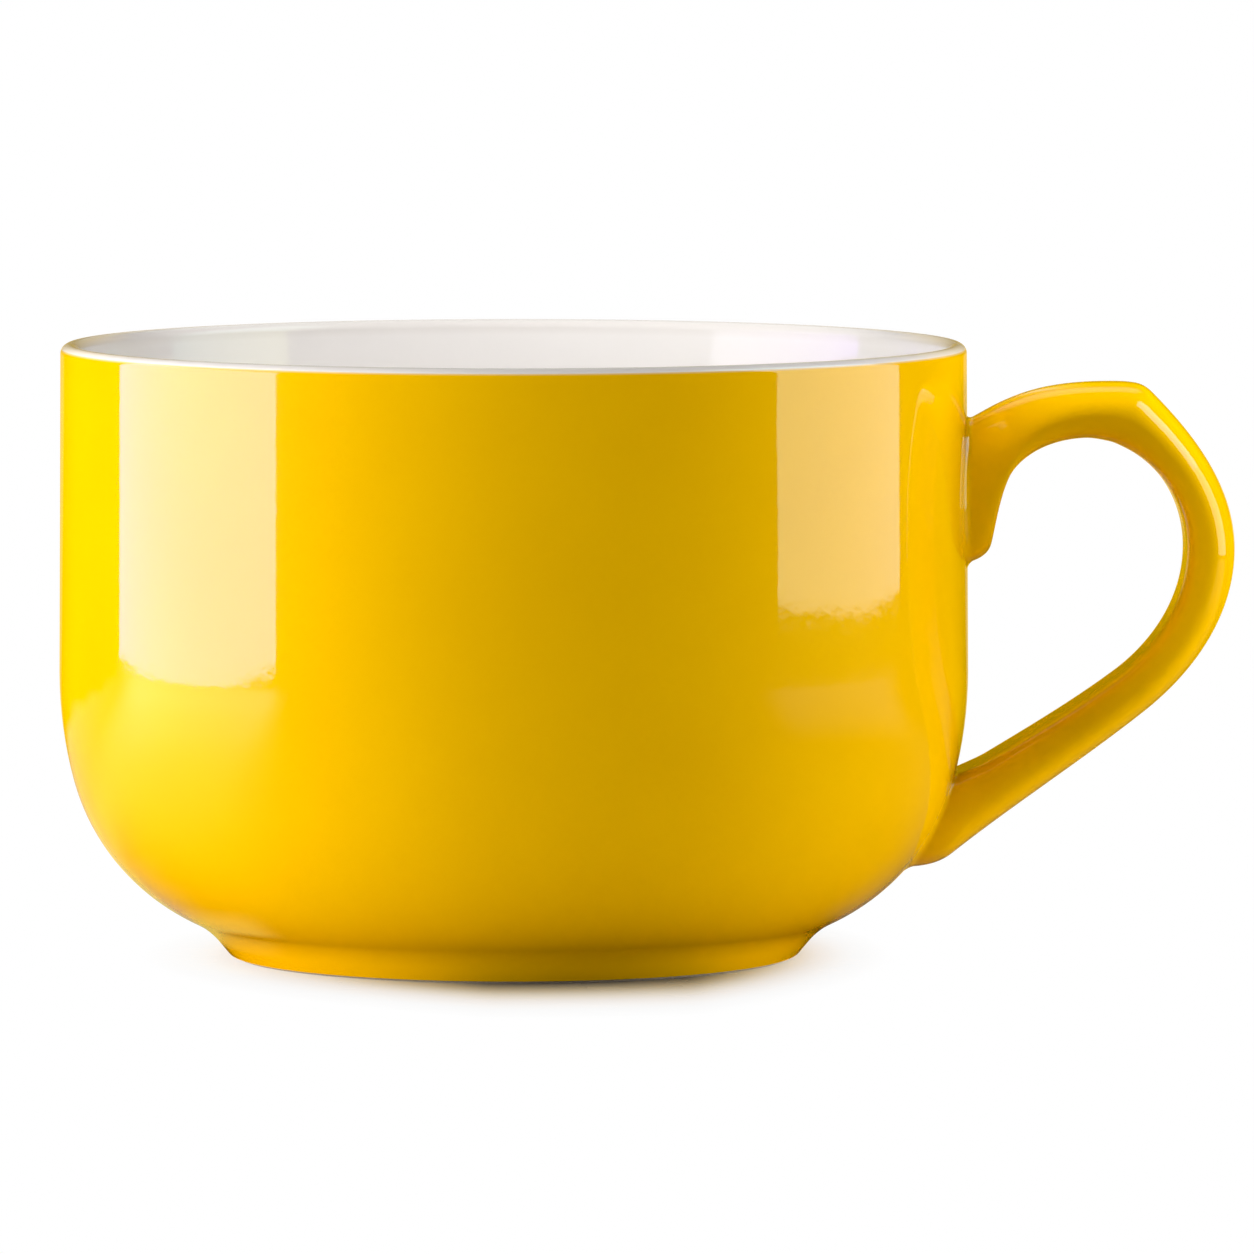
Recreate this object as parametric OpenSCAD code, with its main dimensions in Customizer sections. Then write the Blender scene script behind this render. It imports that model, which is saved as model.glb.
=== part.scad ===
// Large tea cup: a straight-walled bowl with a rounded heel, a turned foot ring and a strap handle.
// The bowl and the handle are fired clay, stuck together with slip and then coated with glaze.
// Millimetres. The table is z = 0, the bowl turns about the Z axis and the handle points along +X.

/* [Bowl] */
// Widest outside diameter, at the bottom of the straight wall
bowl_d = 115; // [106:0.5:124]
// Outside diameter at the lip
rim_d = 114.5; // [106:0.5:124]
// Height of the lip above the table
cup_h = 77.6; // [70:0.1:95]
// Radius of the belly curve under the straight wall
belly_r = 52.5; // [46:0.5:57]
// Angle that the belly curve turns through
belly_sweep = 15; // [10:0.5:20]
// Radius of the heel curve under the belly
heel_r = 27.5; // [25:0.5:30]
// Height of the lowest point of the heel curve above the table
bowl_lift = 2; // [1.4:0.1:4]
// Thickness of the wall up to the lip's taper, glaze included
wall_t = 3.4; // [2.6:0.1:4.5]
// Thickness of the lip, glaze included
lip_t = 2.4; // [1.8:0.1:3.6]
// Height below the lip over which the wall thins to it
lip_taper = 14; // [8:0.5:20]
// Height of the inside floor above the lowest point of the heel curve
floor_t = 4.5; // [3.5:0.1:6]
// Radius between the inside wall and the inside floor
inside_r = 24; // [20:0.5:26.5]

/* [Foot] */
// Outside diameter of the foot on the table
foot_d = 71.6; // [68:0.2:79]
// Lean of the foot's outside away from upright
foot_lean = 40; // [34:1:46]
// Radius of the hollow between the foot and the heel
neck_r = 10; // [4:0.5:12]
// Width of the ring that stands on the table
ring_w = 4; // [2.5:0.1:6]
// Depth of the recess inside the ring
recess_h = 2.4; // [1.4:0.1:3.2]
// Radius in the corner of the recess
recess_r = 1.2; // [0.7:0.1:1.4]

/* [Glaze] */
// Thickness of each coat of glaze
glaze_t = 0.4; // [0.2:0.05:0.6]
// Angle up the outer round of the lip at which the yellow coat meets the white one
border_angle = 30; // [5:1:60]
// Height of bare clay left above the table
bare_h = 0.3; // [0.2:0.05:1]

/* [Handle] */
// Drop from the lip to the top of the handle
handle_drop = 4.9; // [3:0.1:9]
// How far the handle stands out past the widest part of the bowl
handle_reach = 33.7; // [30:0.1:38]
// Drop from the top of the handle to its outermost point
grip_drop = 21.2; // [19:0.1:24]
// Drop from the top of the handle to the bottom of its lower root
toe_drop = 61.5; // [58:0.1:64]
// How far the thumb rest stands out past the widest part of the bowl
thumb_reach = 21.2; // [19:0.1:23]
// Thickness of the strap at its outermost point
strap_t = 6.3; // [5:0.1:7.5]
// Thickness of the strap under the thumb rest
thumb_t = 7; // [6:0.1:8]
// Width of the strap
strap_w = 18; // [14:0.2:22]
// Share by which the strap's inner face is narrower than the strap
face_narrowing = 0.08; // [0:0.01:0.15]
// Width of both roots, without their fillets
root_w = 19; // [15:0.2:24]
// Drop from the top of the handle to the top of its upper root
upper_root_drop = 4.9; // [4:0.1:6]
// Height of the upper root on the wall
upper_root_h = 17.8; // [14:0.1:20]
// Height of the lower root on the heel
lower_root_h = 11.9; // [9:0.1:14]
// Radius of the fillet round both roots
fillet_r = 1; // [0.6:0.05:1.3]
// Clearance between each root and the glazed wall
seat_gap = 0.05; // [0.02:0.01:0.15]

/* [Hidden] */
$fn = 128;

// Heights and radii of the bowl
wall_r = bowl_d / 2;
rim_r = rim_d / 2;
lip_z = cup_h - lip_t / 2;
taper_z = lip_z - lip_taper;
floor_z = bowl_lift + floor_t;
heel_c = [wall_r - belly_r + (belly_r - heel_r) * cos(belly_sweep), bowl_lift + heel_r];
wall_z = heel_c.y + (belly_r - heel_r) * sin(belly_sweep);
belly_c = [wall_r - belly_r, wall_z];
belly_end_z = wall_z - belly_r * sin(belly_sweep);
inside_wall_r = wall_r - wall_t;
inside_c = [inside_wall_r - inside_r, floor_z + inside_r];
recess_d = foot_d - 2 * ring_w;

// Centre of the hollow between foot and heel, tangent to the foot's line and to the heel curve
foot_run = [sin(foot_lean), cos(foot_lean)];
foot_out = [cos(foot_lean), -sin(foot_lean)];
neck_start = [foot_d / 2, 0] + neck_r * foot_out;
neck_gap = neck_start - heel_c;
neck_along = -neck_gap * foot_run
    - sqrt(pow(neck_gap * foot_run, 2) - neck_gap * neck_gap + pow(heel_r + neck_r, 2));
neck_c = neck_start + neck_along * foot_run;
heel_end_dir = (neck_c - heel_c) / norm(neck_c - heel_c);
heel_end_angle = atan2(heel_end_dir.y, heel_end_dir.x);

// Levels and reaches of the handle
top_z = cup_h - handle_drop;
upper_root_z = top_z - upper_root_drop;
upper_toe_z = upper_root_z - upper_root_h;
lower_root_z = top_z - toe_drop;
lower_heel_z = lower_root_z + lower_root_h;
under_thumb_z = top_z - thumb_t;
grip_z = top_z - grip_drop;
thumb_x = wall_r + thumb_reach;
grip_x = wall_r + handle_reach;

// Middle of the straight lower half of the strap, where it is a little thinner than at the grip
flank = [grip_x - 11.4, grip_z - 20.5];
flank_heading = -141.5;
flank_t = strap_t - 0.4;
inner_flank = flank - flank_t * [-sin(flank_heading), cos(flank_heading)];

// Handle edges in its own plane, as knots of [x, z, heading], from the upper root to the lower one.
// Both edges have a knot at the same stations, and a section spans them at every station.
outer_edge = [
    [bowl_radius(upper_root_z), upper_root_z, 26],                            // upper root
    [wall_r + 3.9, top_z - 2.7, 25],                                          // rise from the wall
    [wall_r + 9.5, top_z - 0.75, 12],                                         // long top
    [thumb_x - 2.2, top_z, -1],                                               // crest
    [thumb_x, top_z - 0.2, -10],                                              // thumb rest
    [thumb_x + 2, top_z - 1.3, -45],                                          // end of the thumb rest
    [grip_x, grip_z, -90],                                                    // grip
    [flank.x, flank.y, flank_heading],                                        // flank
    [bowl_radius(lower_root_z + 1.6) + 4.3, lower_root_z + 1.6, -141.5],      // run to the heel
    [bowl_radius(lower_root_z), lower_root_z, -180]                           // lower root
];
inner_edge = [
    [bowl_radius(upper_toe_z), upper_toe_z, 15],                              // upper root's toe
    [wall_r + 2.7, upper_toe_z + 2.3, 77],                                    // knuckle over the toe
    [wall_r + 4, under_thumb_z - 6.6, 72],                                    // finger hole, near side
    [thumb_x - 6.7, under_thumb_z + 0.1, 2],                                  // top of the finger hole
    [thumb_x - 3.7, under_thumb_z - 0.3, -12],                                // under the thumb rest
    [thumb_x - 1.7, under_thumb_z - 1.1, -26],                                // under its end
    [grip_x - strap_t, grip_z, -90],                                          // grip
    [inner_flank.x, inner_flank.y, -143.5],                                   // flank
    [bowl_radius(lower_heel_z) + 4.2, lower_heel_z + 2.2, -149],              // run to the heel
    [bowl_radius(lower_heel_z), lower_heel_z, -149]                           // lower root
];
legs = len(outer_edge) - 1;
leg_steps = [4, 4, 6, 3, 3, 9, 9, 7, 3];
edge_probe = 0.02;

// Strap section: an oval crown outside and a flatter face with tight edges inside
section_points = 28;
crown_share = 0.58;
crown_power = 2.3;
face_power = 5;
fillet_steps = 4;
cap_rings = 5;

// Largest turn between two points of a round stretch
arc_step = 4;

// Stations along the handle, as [place along the knots, growth of the section by the root fillet]
function root_stations(leg) = [
    for (k = [0:fillet_steps - 1])
        let (a = 90 * k / fillet_steps)
        let (reach = norm(knot_place(outer_edge[leg]) - knot_place(outer_edge[leg + 1])))
        [fillet_r * (1 - cos(a)) / reach, fillet_r * (1 - sin(a))]
];
function reversed(list) = [for (k = [len(list) - 1:-1:0]) list[k]];
stations = concat(
    root_stations(0),
    [for (i = [0:legs - 1]) for (k = [i == 0 ? 1 : 0:leg_steps[i] - 1]) [i + k / leg_steps[i], 0]],
    reversed([for (q = root_stations(legs - 1)) [legs - q[0], q[1]]])
);

function heading(a) = [cos(a), sin(a)];
function knot_place(knot) = [knot[0], knot[1]];

// Point on the cubic from knot a to knot b, which is close to an arc where the knots lie on one
function leg_point(a, b, u) =
    let (p = knot_place(a), q = knot_place(b))
    let (pull = norm(q - p) / (3 * pow(cos((b[2] - a[2]) / 4), 2)))
    pow(1 - u, 3) * p
    + 3 * u * pow(1 - u, 2) * (p + pull * heading(a[2]))
    + 3 * u * u * (1 - u) * (q - pull * heading(b[2]))
    + pow(u, 3) * q;

function edge_point(knots, s) =
    let (i = min(floor(s), legs - 1))
    leg_point(knots[i], knots[i + 1], s - i);

// Unit normal to the left of an edge: outwards on the outer edge, into the strap on the inner one
function edge_left(knots, s) =
    let (run = edge_point(knots, min(s + edge_probe, legs)) - edge_point(knots, max(s - edge_probe, 0)))
    [-run.y, run.x] / norm(run);

// Outside radius of the glazed bowl at height z, above the foot
function bowl_radius(z) =
    z >= wall_z ? wall_r + (rim_r - wall_r) * (z - wall_z) / (lip_z - wall_z)
    : z >= belly_end_z ? belly_c.x + sqrt(belly_r * belly_r - pow(z - belly_c.y, 2))
    : heel_c.x + sqrt(heel_r * heel_r - pow(z - heel_c.y, 2));

// Place on the glazed wall, straight inwards along X from a point
function on_wall(p) = [sqrt(pow(bowl_radius(p.z), 2) - p.y * p.y) + seat_gap, p.y, p.z];

// Half the width of the strap at a station, which widens towards both roots
function half_width(s) =
    let (near = max(1 - s / 3, 1 - (legs - s) / 2, 0))
    (strap_w + (root_w - strap_w) * near * near * (3 - 2 * near)) / 2;

function power_of(v, n) = sign(v) * pow(abs(v), 2 / n);

// Flat section at a station, grown on every side by grow
function flat_section(s, grow) =
    let (outer = edge_point(outer_edge, s) + grow * edge_left(outer_edge, s))
    let (inner = edge_point(inner_edge, s) - grow * edge_left(inner_edge, s))
    let (span = norm(outer - inner), along = (outer - inner) / span)
    let (centre = inner + along * span * (1 - crown_share))
    [for (j = [0:section_points - 1])
        let (a = 360 * j / section_points, power = cos(a) > 0 ? crown_power : face_power)
        let (depth = span * (cos(a) > 0 ? crown_share : 1 - crown_share))
        let (u = depth * power_of(cos(a), power), narrowing = face_narrowing * pow(max(-u / depth, 0), 1.5))
        let (v = (half_width(s) + grow) * (1 - narrowing) * power_of(sin(a), power))
        [centre.x + along.x * u, v, centre.y + along.y * u]];

// Section at a station, bent near either root so that the root lies on the curved wall
function section(s, grow) =
    let (flat = flat_section(s, grow), first = flat_section(0, grow), last = flat_section(legs, grow))
    let (near_first = pow(max(1 - s, 0), 2), near_last = pow(max(1 - legs + s, 0), 2))
    [for (j = [0:section_points - 1])
        flat[j] + near_first * (on_wall(first[j]) - first[j]) + near_last * (on_wall(last[j]) - last[j])];

function handle_rings(inset) = [for (q = stations) section(q[0], q[1] - inset)];

// Concentric rings that close a root, each lying on the wall
function cap_points(ring) =
    let (centre = [0, mean_z(ring)])
    [for (k = [1:cap_rings]) for (p = ring)
        let (share = 1 - k / (cap_rings + 1))
        on_wall([0, p.y * share, centre.y + (p.z - centre.y) * share])];
function mean_z(ring) = ([for (p = ring) 1] * [for (p = ring) p.z]) / len(ring);

// Two triangles for each cell between one ring and the next, which start at point numbers a and b
function band(a, b) = [
    for (j = [0:section_points - 1])
        let (k = (j + 1) % section_points)
        each [[a + j, b + j, b + k], [a + j, b + k, a + k]]
];
function fan(ring, tip) = [for (j = [0:section_points - 1]) [ring + j, tip, ring + (j + 1) % section_points]];
function flipped(faces) = [for (f = faces) [f[2], f[1], f[0]]];

// Profiles of the bowl, as points of [radius, height], are made of arcs like this one
function arc(centre, radius, from, to) =
    let (steps = ceil(abs(to - from) / arc_step))
    [for (k = [0:steps]) centre + radius * heading(from + (to - from) * k / steps)];
function without_last(list) = [for (k = [0:len(list) - 2]) list[k]];
function without_first(list) = [for (k = [1:len(list) - 1]) list[k]];

// Outside of the bowl, drawn in by inset, from one height on the foot to another on the straight wall
function outside(inset, low, high) = concat(
    [[foot_d / 2 - inset / cos(foot_lean) + low * tan(foot_lean), low]],
    without_last(arc(neck_c, neck_r + inset, 180 - foot_lean, heel_end_angle + 180)),
    without_last(arc(heel_c, heel_r - inset, heel_end_angle, -belly_sweep)),
    arc(belly_c, belly_r - inset, -belly_sweep, 0),
    [[bowl_radius(high) - inset, high]]
);

// Round of the lip, drawn in by inset, between two angles from the outside over to the inside
function lip(inset, from, to) = arc([rim_r - lip_t / 2, lip_z], lip_t / 2 - inset, from, to);

// Inside of the bowl, widened by grow, from the lip down to the axis
function inside(grow) = concat(
    [[rim_r - lip_t + grow, lip_z]],
    [[bowl_radius(taper_z) - wall_t + grow, taper_z]],
    arc(inside_c, inside_r + grow, 0, -90),
    [[0, floor_z - grow]]
);

// Recess under the foot, drawn in by inset, from the axis out and down to a height
function recess(inset, low) =
    let (corner = [recess_d / 2 - recess_r, recess_h - recess_r])
    concat(
        [[0, recess_h - inset]],
        arc(corner, recess_r - inset, 90, 0),
        [[recess_d / 2 - inset, low]]
    );

// Yellow coat before the handle's two seats are left out of it
module whole_yellow_coat() {
    rotate_extrude() polygon(concat(
        outside(0, bare_h, lip_z),
        without_first(lip(0, 0, border_angle)),
        reversed(without_first(lip(glaze_t, 0, border_angle))),
        reversed(outside(glaze_t, bare_h, lip_z))
    ));
}

// Prism through the wall with the outline of the bare handle's root
module root_prism(root) {
    ring = handle_rings(glaze_t)[root == "upper" ? 0 : len(stations) - 1];
    depth = 2 * heel_r;
    translate([wall_r - heel_r, 0, 0])
        rotate([90, 0, 90])
            linear_extrude(depth) polygon([for (p = ring) [p.y, p.z]]);
}

module slip(root) {
    intersection() {
        whole_yellow_coat();
        root_prism(root);
    }
}

// Sub-parts

module bowl() {
    color("antiquewhite") rotate_extrude() polygon(concat(
        outside(glaze_t, 0, lip_z),
        without_last(without_first(lip(glaze_t, 0, 180))),
        inside(glaze_t),
        recess(0, 0)
    ));
}

module handle() {
    rings = handle_rings(glaze_t);
    last = len(rings) - 1;
    first_cap = cap_points(rings[0]);
    last_cap = cap_points(rings[last]);
    n = section_points;
    cap_start = len(rings) * n;
    second_start = cap_start + cap_rings * n;
    tips = second_start + cap_rings * n;
    points = concat(
        [for (ring = rings) each ring],
        first_cap,
        last_cap,
        [on_wall([0, 0, mean_z(rings[0])]), on_wall([0, 0, mean_z(rings[last])])]
    );
    strap = [for (k = [0:last - 1]) each band(k * n, (k + 1) * n)];
    first_end = concat(
        band(cap_start, 0),
        [for (k = [1:cap_rings - 1]) each band(cap_start + k * n, cap_start + (k - 1) * n)],
        flipped(fan(second_start - n, tips))
    );
    last_end = concat(
        band(last * n, second_start),
        [for (k = [1:cap_rings - 1]) each band(second_start + (k - 1) * n, second_start + k * n)],
        fan(tips - n, tips + 1)
    );
    color("antiquewhite") polyhedron(points, concat(strap, first_end, last_end), convexity = 6);
}

module upper_slip() {
    color("bisque") slip("upper");
}

module lower_slip() {
    color("bisque") slip("lower");
}

module white_glaze() {
    color("white") rotate_extrude() polygon(concat(
        lip(0, border_angle, 180),
        without_first(inside(0)),
        reversed(without_first(inside(glaze_t))),
        reversed(lip(glaze_t, border_angle, 180))
    ));
}

module yellow_glaze() {
    color("gold") difference() {
        whole_yellow_coat();
        root_prism("upper");
        root_prism("lower");
    }
}

// One closed skin: the outer rings to the lower root, then the inner rings back to the upper one
module handle_glaze() {
    rings = concat(handle_rings(0), reversed(handle_rings(glaze_t)));
    n = section_points;
    faces = [for (k = [0:len(rings) - 1]) each band(k * n, (k + 1) % len(rings) * n)];
    color("gold") polyhedron([for (ring = rings) each ring], faces, convexity = 8);
}

module base_glaze() {
    color("white") rotate_extrude() polygon(concat(
        recess(0, bare_h),
        reversed(recess(glaze_t, bare_h))
    ));
}

bowl();
handle();
upper_slip();
lower_slip();
white_glaze();
yellow_glaze();
handle_glaze();
base_glaze();
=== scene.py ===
"""Looks of the large tea cup: glazed bowl and strap handle on a white table, in soft studio light."""

import math

import bmesh
import bpy
import numpy as np
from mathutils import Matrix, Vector


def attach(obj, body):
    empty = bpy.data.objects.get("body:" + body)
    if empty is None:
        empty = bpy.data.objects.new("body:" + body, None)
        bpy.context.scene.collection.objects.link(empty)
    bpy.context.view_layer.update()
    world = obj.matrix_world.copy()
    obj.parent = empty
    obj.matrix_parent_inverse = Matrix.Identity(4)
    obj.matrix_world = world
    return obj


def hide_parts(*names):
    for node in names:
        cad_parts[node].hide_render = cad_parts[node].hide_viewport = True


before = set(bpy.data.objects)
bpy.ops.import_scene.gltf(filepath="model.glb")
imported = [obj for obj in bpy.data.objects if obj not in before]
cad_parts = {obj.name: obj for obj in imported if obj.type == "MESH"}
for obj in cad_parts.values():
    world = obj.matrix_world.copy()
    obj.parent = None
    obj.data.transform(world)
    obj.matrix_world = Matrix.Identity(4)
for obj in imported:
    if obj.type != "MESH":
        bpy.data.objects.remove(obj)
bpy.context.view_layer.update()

MM = 0.001

# Sizes of the bowl in millimetres and degrees, as in the part's source
WALL_R, RIM_R, CUP_H = 57.5, 57.25, 77.6
BELLY_R, BELLY_SWEEP, HEEL_R = 52.5, 15.0, 27.5
BOWL_LIFT, WALL_T = 2.0, 3.4
LIP_T, LIP_TAPER, TAPER_POWER = 2.4, 14.0, 1.5
FLOOR_Z, INSIDE_R = 6.5, 24.0
FOOT_R, FOOT_LEAN, NECK_R = 35.8, 40.0, 10.0
RING_W, RECESS_H, RECESS_R = 4.0, 2.4, 1.2
GLAZE_T, BORDER_ANGLE, BARE_H = 0.4, 30.0, 0.3

LIP_Z = CUP_H - LIP_T / 2
TAPER_Z = LIP_Z - LIP_TAPER
SWEEP = math.radians(BELLY_SWEEP)
HEEL_C = np.array([WALL_R - BELLY_R + (BELLY_R - HEEL_R) * math.cos(SWEEP), BOWL_LIFT + HEEL_R])
WALL_Z = HEEL_C[1] + (BELLY_R - HEEL_R) * math.sin(SWEEP)
BELLY_C = np.array([WALL_R - BELLY_R, WALL_Z])
BELLY_END_Z = WALL_Z - BELLY_R * math.sin(SWEEP)
INSIDE_WALL_R = WALL_R - WALL_T
INSIDE_C = np.array([INSIDE_WALL_R - INSIDE_R, FLOOR_Z + INSIDE_R])
RECESS_OUT_R = FOOT_R - RING_W

# Hollow between the foot and the heel
LEAN = math.radians(FOOT_LEAN)
FOOT_RUN = np.array([math.sin(LEAN), math.cos(LEAN)])
FOOT_OUT = np.array([math.cos(LEAN), -math.sin(LEAN)])
NECK_START = np.array([FOOT_R, 0.0]) + NECK_R * FOOT_OUT
NECK_GAP = NECK_START - HEEL_C
NECK_ALONG = -NECK_GAP @ FOOT_RUN - math.sqrt(
    (NECK_GAP @ FOOT_RUN) ** 2 - NECK_GAP @ NECK_GAP + (HEEL_R + NECK_R) ** 2)
NECK_C = NECK_START + NECK_ALONG * FOOT_RUN
HEEL_END_ANGLE = math.degrees(math.atan2(*(NECK_C - HEEL_C)[::-1]))

# Fineness of the turned pieces in degrees and millimetres, and distances that count as none
SEGMENTS = 240
ARC_STEP, ARC_STEPS_MIN = 2.0, 4
LINE_STEP = 2.0
CREASE_ANGLE = math.radians(32)
SAME_POINT, ON_AXIS = 1e-4, 1e-6
LOOP_GAP = 0.05


def ease(value, start, end):
    """Smooth step from 0 at start to 1 at end."""
    t = min(max((value - start) / (end - start), 0), 1)
    return t * t * (3 - 2 * t)


def fade(value, start, end):
    """Smooth step from 1 at start to 0 at end."""
    return ease(-value, -end, -start)


def quarter_turn(steps):
    """Angles of a quarter turn in radians, in even steps."""
    return [math.pi / 2 * k / steps for k in range(steps + 1)]


def band(low, high, count):
    """Four-cornered faces between two rings of points, each given by its first point's number."""
    return [(low + j, high + j, high + (j + 1) % count, low + (j + 1) % count) for j in range(count)]


def arc(centre, radius, start, end):
    """Points of a round stretch, with its angles in degrees."""
    count = max(ARC_STEPS_MIN, math.ceil(abs(end - start) / ARC_STEP))
    turn = np.radians(np.linspace(start, end, count + 1))
    return [(centre[0] + radius * math.cos(t), centre[1] + radius * math.sin(t)) for t in turn]


def line(p, q):
    """Points of a straight stretch."""
    count = max(1, math.ceil(math.dist(p, q) / LINE_STEP))
    return [tuple(np.array(p) + (np.array(q) - np.array(p)) * k / count) for k in range(count + 1)]


def chain(*stretches):
    """One run of points from stretches that meet end to end."""
    points = []
    for stretch in stretches:
        for p in stretch:
            if not points or math.dist(p, points[-1]) > SAME_POINT:
                points.append(p)
    return points


def bowl_radius(z):
    """Outside radius of the glazed bowl at a height above the foot."""
    if z >= WALL_Z:
        return WALL_R + (RIM_R - WALL_R) * (z - WALL_Z) / (LIP_Z - WALL_Z)
    if z >= BELLY_END_Z:
        return BELLY_C[0] + math.sqrt(BELLY_R ** 2 - (z - BELLY_C[1]) ** 2)
    return HEEL_C[0] + math.sqrt(HEEL_R ** 2 - (z - HEEL_C[1]) ** 2)


def outside(inset, low):
    """Outside of the bowl drawn in by inset, from a height on the foot up to the lip."""
    start = (FOOT_R - inset / math.cos(LEAN) + low * math.tan(LEAN), low)
    neck = arc(NECK_C, NECK_R + inset, 180 - FOOT_LEAN, HEEL_END_ANGLE + 180)
    heel = arc(HEEL_C, HEEL_R - inset, HEEL_END_ANGLE, -BELLY_SWEEP)
    belly = arc(BELLY_C, BELLY_R - inset, -BELLY_SWEEP, 0)
    wall = line(belly[-1], (RIM_R - inset, LIP_Z))
    return chain(line(start, neck[0]), neck, heel, belly, wall)


def lip(inset, start, end):
    """Round of the lip drawn in by inset, between two angles from the outside over to the inside."""
    return arc((RIM_R - LIP_T / 2, LIP_Z), LIP_T / 2 - inset, start, end)


def inside(grow):
    """Inside of the bowl widened by grow, from the lip down to the axis."""
    top = (RIM_R - LIP_T + grow, LIP_Z)
    foot = (bowl_radius(TAPER_Z) - WALL_T + grow, TAPER_Z)
    taper = []
    for p in line(top, foot):
        u = (top[1] - p[1]) / LIP_TAPER
        taper.append((foot[0] + (top[0] - foot[0]) * (1 - u) ** TAPER_POWER, p[1]))
    corner = arc(INSIDE_C, INSIDE_R + grow, 0, -90)
    return chain(taper, line(foot, corner[0]), corner, line(corner[-1], (0, FLOOR_Z - grow)))


def recess(inset, low):
    """Recess under the foot drawn in by inset, from the axis out and down to a height."""
    corner = arc((RECESS_OUT_R - RECESS_R, RECESS_H - RECESS_R), RECESS_R - inset, 90, 0)
    return chain(line((0, RECESS_H - inset), corner[0]), corner,
                 line(corner[-1], (RECESS_OUT_R - inset, low)))


def new_piece(name, points, faces):
    """Object with smooth shading and crisp creases, from points in millimetres."""
    mesh = bpy.data.meshes.new(name)
    mesh.from_pydata([tuple(c * MM for c in p) for p in points], [], faces)
    work = bmesh.new()
    work.from_mesh(mesh)
    bmesh.ops.recalc_face_normals(work, faces=work.faces)
    work.to_mesh(mesh)
    work.free()
    mesh.shade_smooth()
    mesh.set_sharp_from_angle(angle=CREASE_ANGLE)
    piece = bpy.data.objects.new(name, mesh)
    bpy.context.scene.collection.objects.link(piece)
    return piece


def turned(name, profile):
    """Closed piece turned about the axis from a loop of points of radius and height."""
    turn = 2 * np.pi * np.arange(SEGMENTS) / SEGMENTS
    points, rows = [], []
    for r, z in profile:
        if r < ON_AXIS:
            rows.append([len(points)] * SEGMENTS)
            points.append((0, 0, z))
        else:
            rows.append(list(range(len(points), len(points) + SEGMENTS)))
            points.extend((r * math.cos(t), r * math.sin(t), z) for t in turn)
    faces = []
    for a, b in zip(rows, rows[1:] + rows[:1]):
        for j in range(SEGMENTS):
            k = (j + 1) % SEGMENTS
            corners = list(dict.fromkeys((a[j], a[k], b[k], b[j])))
            if len(corners) > 2:
                faces.append(corners)
    return new_piece(name, points, faces)


# Sizes of the handle in millimetres, as in the part's source
HANDLE_DROP, HANDLE_REACH, GRIP_DROP = 4.9, 33.7, 21.2
TOE_DROP, THUMB_REACH = 61.5, 21.2
STRAP_T, THUMB_T, STRAP_W, ROOT_W = 6.3, 7.0, 18.0, 19.0
UPPER_ROOT_DROP, UPPER_ROOT_H, LOWER_ROOT_H = 4.9, 17.8, 11.9
FILLET_R, SEAT_SINK = 1.0, 0.03
FLANK_BACK, FLANK_DROP, FLANK_HEADING, FLANK_T = 11.4, 20.5, -141.5, STRAP_T - 0.4

HANDLE_TOP_Z = CUP_H - HANDLE_DROP
UPPER_ROOT_Z = HANDLE_TOP_Z - UPPER_ROOT_DROP
UPPER_TOE_Z = UPPER_ROOT_Z - UPPER_ROOT_H
LOWER_ROOT_Z = HANDLE_TOP_Z - TOE_DROP
LOWER_HEEL_Z = LOWER_ROOT_Z + LOWER_ROOT_H
UNDER_THUMB_Z = HANDLE_TOP_Z - THUMB_T
THUMB_X, GRIP_X, GRIP_Z = WALL_R + THUMB_REACH, WALL_R + HANDLE_REACH, HANDLE_TOP_Z - GRIP_DROP
FLANK = np.array([GRIP_X - FLANK_BACK, GRIP_Z - FLANK_DROP])
FLANK_LEFT = np.array([-math.sin(math.radians(FLANK_HEADING)), math.cos(math.radians(FLANK_HEADING))])
INNER_FLANK = FLANK - FLANK_T * FLANK_LEFT

# The two edges that the strap runs between, from the upper root to the lower: knots of x, z and heading
OUTER_EDGE = [
    (bowl_radius(UPPER_ROOT_Z), UPPER_ROOT_Z, 26),
    (WALL_R + 3.9, HANDLE_TOP_Z - 2.7, 25),
    (WALL_R + 9.5, HANDLE_TOP_Z - 0.75, 12),
    (THUMB_X - 2.2, HANDLE_TOP_Z, -1),
    (THUMB_X, HANDLE_TOP_Z - 0.2, -10),
    (THUMB_X + 2, HANDLE_TOP_Z - 1.3, -45),
    (GRIP_X, GRIP_Z, -90),
    (FLANK[0], FLANK[1], FLANK_HEADING),
    (bowl_radius(LOWER_ROOT_Z + 1.6) + 4.3, LOWER_ROOT_Z + 1.6, FLANK_HEADING),
    (bowl_radius(LOWER_ROOT_Z), LOWER_ROOT_Z, -180),
]
INNER_EDGE = [
    (bowl_radius(UPPER_TOE_Z), UPPER_TOE_Z, 15),
    (WALL_R + 2.7, UPPER_TOE_Z + 2.3, 77),
    (WALL_R + 4, UNDER_THUMB_Z - 6.6, 72),
    (THUMB_X - 6.7, UNDER_THUMB_Z + 0.1, 2),
    (THUMB_X - 3.7, UNDER_THUMB_Z - 0.3, -12),
    (THUMB_X - 1.7, UNDER_THUMB_Z - 1.1, -26),
    (GRIP_X - STRAP_T, GRIP_Z, -90),
    (INNER_FLANK[0], INNER_FLANK[1], -143.5),
    (bowl_radius(LOWER_HEEL_Z) + 4.2, LOWER_HEEL_Z + 2.2, -149),
    (bowl_radius(LOWER_HEEL_Z), LOWER_HEEL_Z, -149),
]
LEGS = len(OUTER_EDGE) - 1
UPPER_ROOT_LEGS, LOWER_ROOT_LEGS = 3, 2

# Form of the strap's section
CROWN_SHARE, CROWN_POWER, FACE_POWER = 0.58, 2.3, 5.0
FACE_NARROWING, NARROWING_POWER = 0.08, 1.5

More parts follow.
